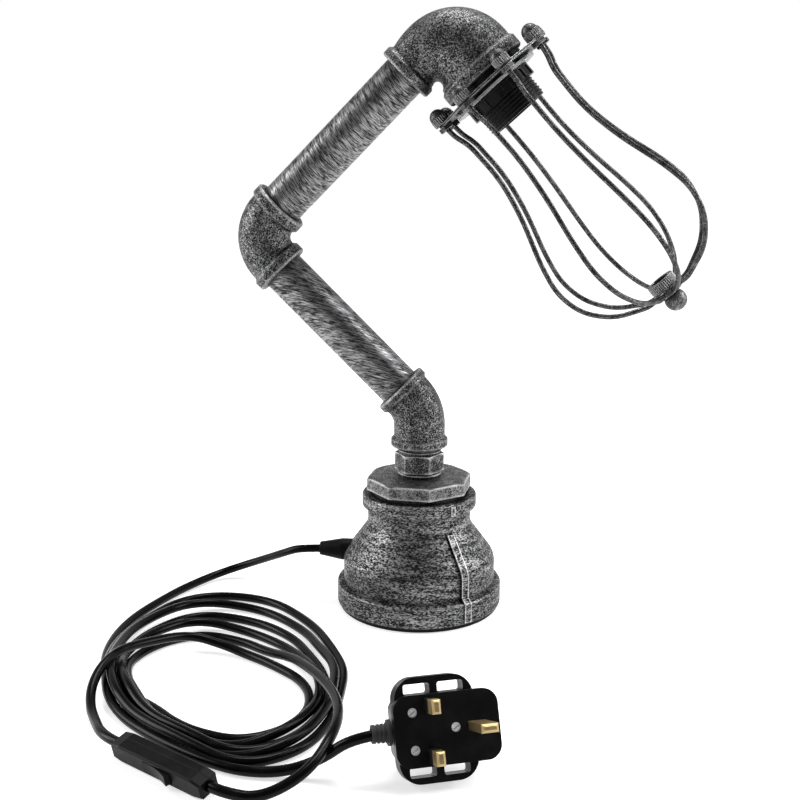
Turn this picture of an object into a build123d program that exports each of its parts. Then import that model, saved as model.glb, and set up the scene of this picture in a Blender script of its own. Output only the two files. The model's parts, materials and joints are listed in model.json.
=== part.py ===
from build123d import *
import os
from math import cos, degrees, pi, radians, sin, sqrt, tan

# Industrial pipe table lamp: a reducing socket as the foot, two pipes with swivelling elbows, a screw
# lampholder in a reducing elbow, a cage of eight wires, and a flexible lead with a switch and a plug.
# Millimetres, +Z up. The origin is the centre of the foot's underside, and the arm leans in the XZ plane.
# The cast elbows, the reducing socket and the wire cage with its plate, nuts and hub are built as the
# real ones are: separate pieces that screw or seat into each other with the clearances named below.

os.makedirs("parts", exist_ok=True)

# ---- Driving dimensions ----------------------------------------------------------------------------
running_fit = 0.05  # radial clearance of a turning or sliding fit

pipe_od = 26.9
pipe_bore = 21.6
pipe_thread_od = 26.4
fitting_wall = 2.6  # casting outside the pipe
band_wall = 4.4  # raised band outside the pipe
band_bevel = 0.9
socket_depth = 12.0  # of a pipe or thread in its fitting
socket_relief = 1.0  # left free behind its end

foot_od = 105.0
foot_band_height = 13.5
foot_round = 1.4
collar_round = 1.4
pad_thickness = 2.5
pad_inset = 1.6
bell_od = 96.8
bell_shoulder_height = 33.5
bell_shoulder_round = 12.0
neck_od = 65.4
neck_start_height = 54.8
neck_round = 9.0
collar_od = 72.4
collar_height = 8.1
collar_bore = 59.6
reducer_height = 72.0  # the casting alone, without the pad
base_wall = 5.0
cast_step = 1.1  # slope of the steps under and over a band
rib_width = 5.0
rib_rise = 1.8
rib_azimuth = -50.0
rib_start = 1.5  # above the casting's lower face
seam_width = 3.0
seam_rise = 0.8

bush_across_flats = 62.0
bush_height = 8.0
bush_gap = 2.6  # thread left showing over the socket
bush_spigot_depth = 16.0
bush_bevel_drop = 1.6
bush_bevel_width = 4.0
bush_corner_azimuth = 16.3

nipple_across_flats = 27.0
nipple_hex_height = 11.2
nipple_gap_below = 4.0
nipple_gap_above = 4.3
nipple_bore = 18.0

elbow45_inlet = 24.5
elbow45_outlet = 18.0
elbow45_bend_radius = 26.0
elbow45_band = 5.7
elbow45_pipe_depth = 10.0
elbow90_leg = 28.5
elbow90_bend_radius = 20.5
elbow90_band = 7.0
lower_reach = 148.4  # from the crossing of the axes in one elbow to that in the next
upper_reach = 170.6
arm_lean = 45.0  # of either pipe from the vertical
head_turn = 93.4  # how far the top elbow turns the axis

reducer_inlet = 36.0
reducer_outlet = 34.5
reducer_inlet_band = 6.2
reducer_outlet_band = 8.2
reducer_outlet_od = 53.6
reducer_bulge_od = 49.8
reducer_wall = 3.2
reducer_swell = 2.2
reducer_sections = 7

holder_thread_od = 41.8
holder_depth = 14.0  # of its cap in the elbow
holder_flange_od = 48.0
holder_flange_height = 4.4
holder_body_od = 37.0
holder_bore = 30.0
holder_floor = 8.0
holder_length = 23.5  # past the cage plate
skirt_ribs = 5
skirt_rib_rise = 0.6
collar_ring_od = 52.0
collar_ring_height = 1.8
washer_od = 57.0
washer_height = 1.5
shade_ring_wall = 3.45
shade_ring_height = 7.6
shade_ring_slots = 16
lamp_shell_bore = 26.8
lamp_shell_wall = 0.5
lamp_shell_length = 20.0
lamp_shell_inset = 2.0
contact_height = 4.4

wire_count = 8
wire_od = 3.0
wire_circle = 38.0  # radius of the circle they stand on
cage_turn = 6.6  # from the arm's plane to the middle of a side
plate_margin = 3.1  # corner of the plate outside the wires' centres
plate_thickness = 1.5
waist_radius = 33.8
waist_at = 33.0  # along the cage, from the middle of the plate
belly_radius = 52.6
belly_at = 119.0
hub_at = 161.2
hub_radius = 9.0
hub_thickness = 4.4
wire_seat_depth = 1.8
hub_ring_od = 17.4
hub_ring_height = 6.0
hub_ring_bore = 12.4
hub_ring_floor = 2.0
finial_od = 13.4
finial_seat = 8.8
stud_od = 5.0
cap_nut_od = 9.8
cap_nut_barrel = 4.6
cap_nut_bore = 7.0
hex_nut_flats = 8.0
hex_nut_height = 2.8

cord_od = 5.2
gland_height = 33.6
relief_tip_od = 8.6
relief_root_od = 14.0
relief_length = 16.0
relief_neck_od = 10.6
relief_neck_length = 15.0

coil_centre = (-100.0, -111.0)
coil_half_length = 105.0
coil_half_width = 58.0
coil_azimuth = -70.0
coil_eye_centre = (-104.0, -132.0)
coil_eye_half_length = 56.0
coil_eye_half_width = 32.0
coil_eye_azimuth = -52.0
coil_height = 13.0

switch_centre = (-98.1, -223.2)
switch_azimuth = -30.6
switch_roll = 14.0  # its face turned down, with its back against the coil
switch_length = 61.4
switch_height = 10.0
switch_depth = 11.0
switch_split = -1.0  # of its two shells, from its middle
switch_nose = 6.0
switch_nose_drop = 1.2
switch_bevel = 0.8
switch_cord_depth = 7.0
switch_screw_inset = 9.0
rocker_shift = 1.8
rocker_length = 18.0
rocker_width = 5.6
rocker_clearance = 0.4
rocker_tilt = 8.0
rocker_pin_depth = 3.0  # under the face
rocker_pin_od = 2.0
rocker_pin_seat = 1.0

plug_face_centre = (33.6, -213.7)
plug_azimuth = 19.3
plug_lean = 24.0
plug_length = 49.7
plug_body_width = 32.0
plug_width = 47.5  # over the finger loops
plug_corner = 7.0
plug_base_depth = 4.0
plug_depth = 24.0
plug_taper = 6.0
loop_depth = 10.0
loop_wall = 3.0
loop_start = -23.0
loop_end = 14.5
loop_strut_at = -4.2
loop_strut = 3.6
pin_pitch = 22.2
line_pin_at = -8.4
earth_pin_at = 13.8
earth_pin_length = 22.7
line_pin_length = 17.7
pin_thickness = 4.0
earth_pin_width = 8.0
line_pin_width = 6.35
pin_sleeve_length = 9.0
pin_sleeve_wall = 0.5
plug_screw_od = 4.4
plug_screw_places = [(-15.8, 8.3), (-15.8, -8.3), (4.0, 0.0)]
grip_od = 9.2
grip_flange_od = 12.0
grip_length = 9.0
grip_below_face = 10.0
grip_cord_depth = 12.0

# ---- Places worked out from them -------------------------------------------------------------------
pipe_r = pipe_od / 2
bore_r = pipe_bore / 2
thread_r = pipe_thread_od / 2
body_r = pipe_r + fitting_wall
band_r = pipe_r + band_wall

collar_top = pad_thickness + reducer_height
bush_bottom = collar_top + bush_gap
bush_top = bush_bottom + bush_height
hex_bottom = bush_top + nipple_gap_below
hex_top = hex_bottom + nipple_hex_height
elbow_bottom = hex_top + nipple_gap_above

up = Vector(0, 0, 1)
lean = radians(arm_lean)
head_lean = lean + radians(head_turn)
lower_dir = Vector(-sin(lean), 0, cos(lean))
upper_dir = Vector(sin(lean), 0, cos(lean))
head_dir = Vector(sin(head_lean), 0, cos(head_lean))

corner_low = up * (elbow_bottom + elbow45_inlet)
corner_mid = corner_low + lower_dir * lower_reach
corner_top = corner_mid + upper_dir * upper_reach


def axial_plane(origin, direction):
    """The arm's plane with x along a piece's axis, for outlines of (along, out) that are revolved."""
    return Plane(origin=origin, x_dir=direction, z_dir=(0, -1, 0))


def cross_plane(origin, direction):
    """The plane across an axis that lies in the arm's plane."""
    return Plane(origin=origin, x_dir=direction.cross(Vector(0, 1, 0)), z_dir=direction)


def turned(plane, outline, mode=Mode.ADD):
    """Revolve a closed outline about the plane's x axis."""
    with BuildSketch(plane) as profile:
        with BuildLine():
            Polyline(*outline, close=True)
        make_face()
    revolve(profile.sketch, axis=Axis(plane.origin, plane.x_dir), mode=mode)


def ring(plane, start, end, inner, outer, mode=Mode.ADD):
    """A plain ring or, with no inner radius, a plain rod along the plane's x axis."""
    turned(plane, [(start, inner), (start, outer), (end, outer), (end, inner)], mode)


def rounded_path(points):
    """Straight runs joined by arcs as large as the shorter run at each corner allows."""
    spots = [Vector(*point) for point in points]
    radii = []
    for before, spot, after in zip(spots, spots[1:], spots[2:]):
        half_turn = radians((spot - before).get_angle(after - spot)) / 2
        run = min((spot - before).length, (after - spot).length)
        radii.append(0.45 * run / tan(half_turn))
    FilletPolyline(*points, radius=radii)
    return radii


def finish(piece, name):
    """Label a finished piece and write it out."""
    piece.part.label = name
    export_step(piece.part, f"parts/{name}.step")


# ---- Foot ------------------------------------------------------------------------------------------
upright = axial_plane((0, 0, 0), up)
foot_r = foot_od / 2
bell_r = bell_od / 2
neck_r = neck_od / 2
collar_r = collar_od / 2
spigot_r = collar_bore / 2
throat_r = spigot_r - 2.0
band_top = pad_thickness + foot_band_height
collar_start = collar_top - collar_height
spigot_end = collar_top - bush_spigot_depth

with BuildPart() as foot_pad:
    Cylinder(foot_r - pad_inset, pad_thickness, align=(Align.CENTER, Align.CENTER, Align.MIN))
    chamfer(foot_pad.edges().group_by(Axis.Z)[0], 0.5)
finish(foot_pad, "foot_pad")


def bell_form(mode=Mode.ADD):
    """The reducing socket's outside: band, bell, shoulder, neck and collar."""
    with BuildSketch(upright) as bell:
        with BuildLine():
            Polyline(
                (pad_thickness, 0),
                (pad_thickness, foot_r),
                (band_top, foot_r),
                (band_top + cast_step, bell_r),
                (bell_shoulder_height, bell_r),
                (neck_start_height, neck_r),
                (collar_start - cast_step, neck_r),
                (collar_start, collar_r),
                (collar_top, collar_r),
                (collar_top, 0),
                close=True,
            )
        make_face()
        fillet(bell.vertices().sort_by_distance((bell_shoulder_height, bell_r, 0))[0], bell_shoulder_round)
        fillet(bell.vertices().sort_by_distance((neck_start_height, neck_r, 0))[0], neck_round)
        for place in ((pad_thickness, foot_r), (band_top, foot_r)):
            fillet(bell.vertices().sort_by_distance((*place, 0))[0], foot_round)
        for place in ((collar_start, collar_r), (collar_top, collar_r)):
            fillet(bell.vertices().sort_by_distance((*place, 0))[0], collar_round)
    revolve(bell.sketch, axis=Axis.Z, mode=mode)


with BuildPart() as base_reducer:
    bell_form()
    for azimuth in (radians(rib_azimuth), radians(rib_azimuth + 180)):
        rib_plane = Plane(origin=(0, 0, 0), x_dir=(0, 0, 1), z_dir=(-sin(azimuth), cos(azimuth), 0))
        with BuildSketch(rib_plane) as rib:
            with BuildLine():
                Polyline(
                    (pad_thickness + rib_start, bell_r - base_wall / 2),
                    (pad_thickness + rib_start, foot_r + rib_rise / 2),
                    (band_top, foot_r + rib_rise / 2),
                    (band_top + cast_step + rib_rise, bell_r + rib_rise),
                    (bell_shoulder_height + 0.5, bell_r + rib_rise),
                    (neck_start_height, neck_r + rib_rise),
                    (neck_start_height + 2.0, neck_r - base_wall / 2),
                    (bell_shoulder_height, bell_r - base_wall / 2),
                    close=True,
                )
            make_face()
            shoulder = (bell_shoulder_height + 0.5, bell_r + rib_rise, 0)
            fillet(rib.vertices().sort_by_distance(shoulder)[0], bell_shoulder_round)
        extrude(amount=rib_width / 2, both=True)
        with BuildSketch(rib_plane):
            with Locations(((collar_start + collar_top) / 2, collar_r + seam_rise - 1.0)):
                Rectangle(collar_height - 2.0, 2.0)
        extrude(amount=seam_width / 2, both=True)
    hollow = [
        (pad_thickness, 0),
        (pad_thickness, bell_r - base_wall),
        (bell_shoulder_height - 2.0, bell_r - base_wall),
        (neck_start_height - 2.0, throat_r),
        (spigot_end - socket_relief, throat_r),
        (spigot_end - socket_relief, spigot_r),
        (collar_top - 1.0, spigot_r),
        (collar_top, spigot_r + 1.0),
        (collar_top, 0),
    ]
    turned(upright, hollow, Mode.SUBTRACT)
    gland = axial_plane((-bell_r, 0, gland_height), Vector(-1, 0, 0))
    ring(gland, -4 * base_wall, base_wall, 0, relief_neck_od / 2 + running_fit, Mode.SUBTRACT)
finish(base_reducer, "base_reducer")

with BuildPart() as octagon_bush:
    flat_r = bush_across_flats / 2
    with BuildSketch(Plane.XY.offset(bush_bottom)):
        RegularPolygon(flat_r, 8, major_radius=False, rotation=bush_corner_azimuth)
    extrude(amount=bush_height)
    bevel = [
        (bush_top, flat_r + 0.6),
        (bush_top, flat_r + bush_bevel_width),
        (bush_top - bush_bevel_drop, flat_r + bush_bevel_width),
    ]
    turned(upright, bevel, Mode.SUBTRACT)
    ring(upright, spigot_end, bush_bottom, 0, spigot_r - running_fit)
    ring(upright, spigot_end, bush_top, 0, thread_r + running_fit, Mode.SUBTRACT)
finish(octagon_bush, "octagon_bush")

with BuildPart() as hex_nipple:
    nipple_start = bush_top - socket_depth
    nipple_end = elbow_bottom + socket_depth
    ring(upright, nipple_start, nipple_end, 0, thread_r)
    with BuildSketch(Plane.XY.offset(hex_bottom)):
        RegularPolygon(nipple_across_flats / 2, 6, major_radius=False)
    extrude(amount=nipple_hex_height)
    ring(upright, nipple_start, nipple_end, 0, nipple_bore / 2, Mode.SUBTRACT)
finish(hex_nipple, "hex_nipple")

# The strain relief's flange is moulded to the casting's curve, and its neck goes through the wall.
cord_hole_r = cord_od / 2 + running_fit

with BuildPart() as strain_relief:
    root_r = relief_root_od / 2
    tip_r = relief_tip_od / 2
    cone = [
        (-2 * base_wall, 0),
        (-2 * base_wall, root_r),
        (1.6, root_r),
        (relief_length, tip_r),
        (relief_length, 0),
    ]
    turned(gland, cone)
    bell_form(Mode.SUBTRACT)
    ring(gland, -relief_neck_length, 1.0, 0, relief_neck_od / 2)
    ring(gland, -relief_neck_length, relief_length, 0, cord_hole_r, Mode.SUBTRACT)
finish(strain_relief, "strain_relief")


# ---- Elbows and pipes ------------------------------------------------------------------------------
def mouth_outline(start, length, band, throat, lip):
    """Outline of an elbow's mouth: body, bevelled band and face."""
    return [
        (start, 0),
        (start, throat),
        (length - band - band_bevel, throat),
        (length - band, lip - band_bevel),
        (length - band + band_bevel, lip),
        (length - band_bevel, lip),
        (length, lip - band_bevel),
        (length, 0),
    ]


def bend(corner, inlet, outlet, turn, bend_radius, radius, mode=Mode.ADD):
    """The curved middle of an elbow, as a circle revolved about the centre of the bend."""
    tangent = bend_radius * tan(turn / 2)
    centre = corner + (inlet + outlet).normalized() * (bend_radius / cos(turn / 2))
    with BuildSketch(cross_plane(corner + inlet * tangent, inlet)) as section:
        Circle(radius)
    revolve(section.sketch, axis=Axis(centre, outlet.cross(inlet)), revolution_arc=degrees(turn), mode=mode)


def pipe_socket(plane, length, depth, fit_r):
    """Socket for a pipe's end, with a bevelled mouth."""
    socket = [
        (length - depth, 0),
        (length - depth, fit_r),
        (length - 0.7, fit_r),
        (length, fit_r + 0.7),
        (length, 0),
    ]
    turned(plane, socket, Mode.SUBTRACT)


inlet_45 = axial_plane(corner_low, up * -1)
outlet_45 = axial_plane(corner_low, lower_dir)

with BuildPart() as elbow_45:
    tangent_45 = elbow45_bend_radius * tan(lean / 2)
    turned(inlet_45, mouth_outline(tangent_45, elbow45_inlet, elbow45_band, body_r, band_r))
    turned(outlet_45, mouth_outline(tangent_45, elbow45_outlet, elbow45_band, body_r, band_r))
    bend(corner_low, up * -1, lower_dir, lean, elbow45_bend_radius, body_r)
    ring(inlet_45, 0, elbow45_inlet, 0, nipple_bore / 2, Mode.SUBTRACT)
    ring(outlet_45, 0, elbow45_outlet, 0, nipple_bore / 2, Mode.SUBTRACT)
    pipe_socket(inlet_45, elbow45_inlet, socket_depth + socket_relief, thread_r + running_fit)
    pipe_socket(outlet_45, elbow45_outlet, elbow45_pipe_depth, pipe_r + running_fit)
finish(elbow_45, "elbow_45")

with BuildPart() as lower_pipe:
    lower_start = elbow45_outlet - elbow45_pipe_depth
    lower_end = lower_reach - elbow90_leg + socket_depth
    ring(outlet_45, lower_start, lower_end, bore_r, pipe_r)
finish(lower_pipe, "lower_pipe")

with BuildPart() as elbow_90:
    tangent_90 = elbow90_bend_radius * tan(lean)
    legs_90 = [axial_plane(corner_mid, lower_dir * -1), axial_plane(corner_mid, upper_dir)]
    for leg in legs_90:
        turned(leg, mouth_outline(tangent_90, elbow90_leg, elbow90_band, body_r, band_r))
    bend(corner_mid, lower_dir * -1, upper_dir, 2 * lean, elbow90_bend_radius, body_r)
    bend(corner_mid, lower_dir * -1, upper_dir, 2 * lean, elbow90_bend_radius, bore_r, Mode.SUBTRACT)
    for leg in legs_90:
        ring(leg, tangent_90, elbow90_leg, 0, bore_r, Mode.SUBTRACT)
        pipe_socket(leg, elbow90_leg, socket_depth + socket_relief, pipe_r + running_fit)
finish(elbow_90, "elbow_90")

with BuildPart() as upper_pipe:
    upper_start = elbow90_leg - socket_depth
    upper_end = upper_reach - reducer_inlet + socket_depth
    ring(legs_90[1], upper_start, upper_end, bore_r, pipe_r)
finish(upper_pipe, "upper_pipe")

# ---- Reducing elbow: its sections fan about the inner corner and grow towards the lampholder -------
inlet = upper_dir * -1
outlet = head_dir
legs_cosine = inlet.dot(outlet)
inlet_run = reducer_inlet - reducer_inlet_band - 2.0
outlet_run = reducer_outlet - reducer_outlet_band - 2.0
fan_in = (inlet_run - outlet_run * legs_cosine) / (1 - legs_cosine**2)
fan_out = (outlet_run - inlet_run * legs_cosine) / (1 - legs_cosine**2)
fan_pivot = corner_top + inlet * fan_in + outlet * fan_out
fan_start = corner_top + inlet * inlet_run - fan_pivot
fan_end = corner_top + outlet * outlet_run - fan_pivot
fan_axis = Axis((0, 0, 0), outlet.cross(inlet))


def reducing_bend(start_r, end_r, mode=Mode.ADD):
    """Loft the swelling bend through circles on planes that fan about the pivot."""
    sections = []
    for step in range(reducer_sections):
        share = step / (reducer_sections - 1)
        growth = (0.5 - 0.5 * cos(pi * share)) ** 0.8
        reach = fan_start.length * (1 - share) + fan_end.length * share + reducer_swell * sin(pi * share)
        spoke = fan_start.normalized().rotate(fan_axis, share * head_turn)
        across = inlet.rotate(fan_axis, share * head_turn)
        with BuildSketch(cross_plane(fan_pivot + spoke * reach, across)) as section:
            Circle(start_r + (end_r - start_r) * growth)
        sections.append(section.sketch.face())
    loft(sections, mode=mode)


head_axis = axial_plane(corner_top, head_dir)
inlet_axis = axial_plane(corner_top, inlet)
bulge_r = reducer_bulge_od / 2
holder_seat = reducer_outlet - holder_depth
holder_r = holder_thread_od / 2

with BuildPart() as reducing_elbow:
    reducing_bend(body_r, bulge_r)
    turned(inlet_axis, mouth_outline(inlet_run, reducer_inlet, reducer_inlet_band, body_r, band_r))
    outlet_lip = reducer_outlet_od / 2
    turned(head_axis, mouth_outline(outlet_run, reducer_outlet, reducer_outlet_band, bulge_r, outlet_lip))
    reducing_bend(bore_r, bulge_r - reducer_wall, Mode.SUBTRACT)
    ring(inlet_axis, inlet_run, reducer_inlet, 0, bore_r, Mode.SUBTRACT)
    pipe_socket(inlet_axis, reducer_inlet, socket_depth + socket_relief, pipe_r + running_fit)
    pipe_socket(head_axis, reducer_outlet, holder_depth, holder_r + running_fit)
finish(reducing_elbow, "reducing_elbow")

# ---- Lampholder ------------------------------------------------------------------------------------
plate_top = reducer_outlet + holder_flange_height
plate_middle = plate_top + plate_thickness / 2
plate_bottom = plate_top + plate_thickness
holder_end = plate_bottom + holder_length
holder_body_r = holder_body_od / 2
holder_bore_r = holder_bore / 2
sleeve_r = holder_body_r + running_fit
collar_ring_end = plate_bottom + collar_ring_height
washer_end = collar_ring_end + washer_height
shade_ring_end = washer_end + shade_ring_height
shade_ring_r = sleeve_r + shade_ring_wall

with BuildPart() as holder_body:
    holder = [
        (holder_seat, 0),
        (holder_seat, holder_r),
        (reducer_outlet, holder_r),
        (reducer_outlet, holder_flange_od / 2),
        (plate_top, holder_flange_od / 2),
        (plate_top, holder_body_r),
        (holder_end, holder_body_r),
        (holder_end, holder_bore_r),
        (holder_seat + holder_floor, holder_bore_r),
        (holder_seat + holder_floor, 0),
    ]
    turned(head_axis, holder)
    rib_pitch = (holder_end - 1.0 - shade_ring_end - 0.6) / skirt_ribs
    for index in range(skirt_ribs):
        start = shade_ring_end + 0.6 + index * rib_pitch
        skirt_rib = [
            (start, holder_body_r - 0.2),
            (start + rib_pitch * 0.3, holder_body_r + skirt_rib_rise),
            (start + rib_pitch * 0.5, holder_body_r + skirt_rib_rise),
            (start + rib_pitch * 0.8, holder_body_r - 0.2),
        ]
        turned(head_axis, skirt_rib)
    ring(head_axis, holder_seat, holder_seat + holder_floor, 0, 4.0, Mode.SUBTRACT)
finish(holder_body, "holder_body")

with BuildPart() as collar_ring:
    ring(head_axis, plate_bottom, collar_ring_end, sleeve_r, collar_ring_od / 2)
finish(collar_ring, "collar_ring")

with BuildPart() as shade_washer:
    ring(head_axis, collar_ring_end, washer_end, sleeve_r, washer_od / 2)
finish(shade_washer, "shade_washer")

with BuildPart() as shade_ring:
    ring(head_axis, washer_end, shade_ring_end, sleeve_r, shade_ring_r)
    with BuildSketch(cross_plane(corner_top + head_dir * (washer_end + 1.4), head_dir)):
        with PolarLocations(shade_ring_r, shade_ring_slots):
            Rectangle(1.8, 3.2)
    extrude(amount=shade_ring_height, mode=Mode.SUBTRACT)
finish(shade_ring, "shade_ring")

shell_end = holder_end - lamp_shell_inset
shell_start = shell_end - lamp_shell_length
shell_inner = lamp_shell_bore / 2
shell_outer = shell_inner + lamp_shell_wall

with BuildPart() as contact_block:
    block_r = holder_bore_r - running_fit
    ring(head_axis, holder_seat + holder_floor, shell_start - contact_height, 1.5, block_r)
finish(contact_block, "contact_block")

with BuildPart() as screw_shell:
    shell = [
        (shell_start, shell_inner - 3.5),
        (shell_start, shell_outer),
        (shell_end - 1.0, shell_outer),
        (shell_end - 1.0, holder_bore_r - running_fit),
        (shell_end, holder_bore_r - running_fit),
        (shell_end, shell_inner),
        (shell_start + lamp_shell_wall, shell_inner),
        (shell_start + lamp_shell_wall, shell_inner - 3.5),
    ]
    turned(head_axis, shell)
finish(screw_shell, "screw_shell")

with BuildPart() as centre_contact:
    contact = [
        (shell_start - contact_height, 0),
        (shell_start - contact_height, 4.0),
        (shell_start - contact_height + 1.0, 4.0),
        (shell_start - 0.8, 2.4),
        (shell_start, 0),
    ]
    turned(head_axis, contact)
finish(centre_contact, "centre_contact")

# ---- Cage ------------------------------------------------------------------------------------------
across_head = (upper_dir - head_dir * upper_dir.dot(head_dir)).normalized()
head_plane = Plane(origin=corner_top, x_dir=across_head, z_dir=head_dir)
first_wire = cage_turn + 180 / wire_count
wire_angles = [first_wire + 360 / wire_count * index for index in range(wire_count)]
wire_hole_r = wire_od / 2 + running_fit
half_plate = plate_thickness / 2
hub_start = hub_at - hub_thickness / 2
hub_end = hub_at + hub_thickness / 2
wire_tip = hub_radius - wire_seat_depth
stud_r = stud_od / 2
cage_axis = axial_plane(corner_top + head_dir * plate_middle, head_dir)


def radial_plane(angle):
    """Plane through the cage's axis and one wire: x along the cage from its plate, y outwards."""
    outward = across_head.rotate(Axis((0, 0, 0), head_dir), angle)
    return Plane(origin=cage_axis.origin, x_dir=head_dir, z_dir=head_dir.cross(outward))


with BuildPart() as cage_plate:
    with BuildSketch(head_plane.offset(plate_top)):
        RegularPolygon(wire_circle + plate_margin, wire_count, rotation=first_wire)
        Circle(sleeve_r, mode=Mode.SUBTRACT)
        with PolarLocations(wire_circle, wire_count, start_angle=first_wire):
            Circle(wire_hole_r, mode=Mode.SUBTRACT)
    extrude(amount=plate_thickness)
finish(cage_plate, "cage_plate")

wire_outline = [
    (-half_plate - cap_nut_barrel - 2.0, wire_circle),
    (half_plate + hex_nut_height + 5.1, wire_circle),
    (waist_at - 14.4, waist_radius + 0.7),
    (waist_at + 12, waist_radius - 0.1),
    (waist_at + 37, waist_radius + 4.9),
    (belly_at - 19, belly_radius - 3.8),
    (belly_at, belly_radius),
    (belly_at + 18, belly_radius - 4.0),
    (belly_at + 33, belly_radius - 16.6),
    (hub_at, wire_tip + 8.3),
    (hub_at, wire_tip),
]

for number, angle in enumerate(wire_angles, start=1):
    with BuildPart() as cage_wire:
        with BuildLine(radial_plane(angle)) as bow:
            rounded_path(wire_outline)
        with BuildSketch(bow.line ^ 0):
            Circle(wire_od / 2)
        sweep(path=bow.line)
    finish(cage_wire, f"cage_wire_{number}")

with BuildPart() as cap_nuts:
    for angle in wire_angles:
        nut_plane = radial_plane(angle)
        dome = nut_plane.from_local_coords((-half_plate - cap_nut_barrel, wire_circle, 0))
        nut_axis = Plane(origin=dome, x_dir=head_dir, z_dir=nut_plane.z_dir)
        cap_nut_r = cap_nut_od / 2
        with BuildSketch(nut_axis):
            with BuildLine():
                CenterArc((0, 0), cap_nut_r, 90, 90)
                Polyline((-cap_nut_r, 0), (cap_nut_barrel, 0), (cap_nut_barrel, cap_nut_r), (0, cap_nut_r))
            make_face()
        revolve(axis=Axis(nut_axis.origin, nut_axis.x_dir))
        ring(nut_axis, cap_nut_barrel - cap_nut_bore, cap_nut_barrel, 0, wire_hole_r, Mode.SUBTRACT)
finish(cap_nuts, "cap_nuts")

with BuildPart() as cage_hex_nuts:
    with BuildSketch(head_plane.offset(plate_bottom)):
        with PolarLocations(wire_circle, wire_count, start_angle=first_wire):
            RegularPolygon(hex_nut_flats / 2, 6, major_radius=False)
            Circle(wire_hole_r, mode=Mode.SUBTRACT)
    extrude(amount=hex_nut_height)
finish(cage_hex_nuts, "cage_hex_nuts")

with BuildPart() as cage_hub:
    ring(cage_axis, hub_start, hub_end, 0, hub_radius)
    chamfer(cage_hub.edges().filter_by(GeomType.CIRCLE), 0.6)
    ring(cage_axis, hub_start, hub_end, 0, stud_r + running_fit, Mode.SUBTRACT)
    for angle in wire_angles:
        spoke_plane = radial_plane(angle)
        seat = spoke_plane.from_local_coords((hub_at, wire_tip, 0))
        with BuildSketch(Plane(origin=seat, z_dir=spoke_plane.y_dir)):
            Circle(wire_hole_r)
        extrude(amount=hub_radius, mode=Mode.SUBTRACT)
finish(cage_hub, "cage_hub")

with BuildPart() as hub_ring:
    cup = [
        (hub_start, stud_r + running_fit),
        (hub_start, hub_ring_od / 2),
        (hub_start - hub_ring_height, hub_ring_od / 2),
        (hub_start - hub_ring_height, hub_ring_bore / 2),
        (hub_start - hub_ring_floor, hub_ring_bore / 2),
        (hub_start - hub_ring_floor, stud_r + running_fit),
    ]
    turned(cage_axis, cup)
finish(hub_ring, "hub_ring")

with BuildPart() as finial_ball:
    ball_r = finial_od / 2
    seat_r = finial_seat / 2
    ball_centre = hub_end + sqrt(ball_r**2 - seat_r**2)
    stud_start = hub_start - hub_ring_floor - 1.5
    with BuildSketch(cage_axis):
        with BuildLine():
            Polyline(
                (ball_centre + ball_r, 0),
                (stud_start, 0),
                (stud_start, stud_r),
                (hub_end, stud_r),
                (hub_end, seat_r),
            )
            ThreePointArc((hub_end, seat_r), (ball_centre, ball_r), (ball_centre + ball_r, 0))
        make_face()
    revolve(axis=Axis(cage_axis.origin, cage_axis.x_dir))
finish(finial_ball, "finial_ball")

# ---- In-line switch --------------------------------------------------------------------------------
switch_along = Vector(cos(radians(switch_azimuth)), sin(radians(switch_azimuth)), 0)
switch_side = Vector(sin(radians(switch_azimuth)), -cos(radians(switch_azimuth)), 0)
switch_out = switch_side * cos(radians(switch_roll)) - up * sin(radians(switch_roll))
switch_up = up * cos(radians(switch_roll)) + switch_side * sin(radians(switch_roll))
half_switch = switch_length / 2
half_depth = switch_depth / 2
half_height = switch_height / 2
switch_rest = half_height * cos(radians(switch_roll)) + half_depth * sin(radians(switch_roll))
switch_middle = Vector(*switch_centre, switch_rest)
switch_plane = Plane(origin=switch_middle, x_dir=switch_along, z_dir=switch_out)
switch_end_plane = Plane(origin=switch_middle - switch_along * switch_length, z_dir=switch_along)
pin_out = half_depth - rocker_pin_depth
pin_centre = switch_plane.from_local_coords((rocker_shift, 0, pin_out))
window_length = rocker_length + 2 * rocker_clearance
window_width = rocker_width + 2 * rocker_clearance
screw_spots = [(-half_switch + switch_screw_inset, 0), (half_switch - switch_screw_inset, 0)]


def shell_half(start, depth):
    """One half of the switch from the parting line outwards, with bevelled edges and cord channel."""
    with BuildSketch(switch_plane.offset(start)) as flat:
        with BuildLine():
            Polyline(
                (-half_switch, half_height - switch_nose_drop),
                (-half_switch + switch_nose, half_height),
                (half_switch - switch_nose, half_height),
                (half_switch, half_height - switch_nose_drop),
                (half_switch, -half_height + switch_nose_drop),
                (half_switch - switch_nose, -half_height),
                (-half_switch + switch_nose, -half_height),
                (-half_switch, -half_height + switch_nose_drop),
                close=True,
            )
        make_face()
    extrude(flat.sketch, amount=depth)
    outer = faces().sort_by(Axis(switch_middle, switch_out))[-1 if depth > 0 else 0]
    chamfer(outer.edges(), switch_bevel)
    with BuildSketch(switch_end_plane) as channel:
        Circle(cord_hole_r)
    extrude(channel.sketch, amount=2 * switch_length, mode=Mode.SUBTRACT)


with BuildPart() as switch_cover:
    shell_half(switch_split, half_depth - switch_split)
    with BuildSketch(switch_plane.offset(switch_split)):
        with Locations((rocker_shift, 0)):
            Rectangle(window_length, window_width)
    extrude(amount=switch_depth, mode=Mode.SUBTRACT)
    with BuildSketch(Plane(origin=pin_centre, z_dir=switch_up)):
        Circle(rocker_pin_od / 2)
    extrude(amount=window_width / 2 + rocker_pin_seat, both=True, mode=Mode.SUBTRACT)
finish(switch_cover, "switch_cover")

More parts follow.
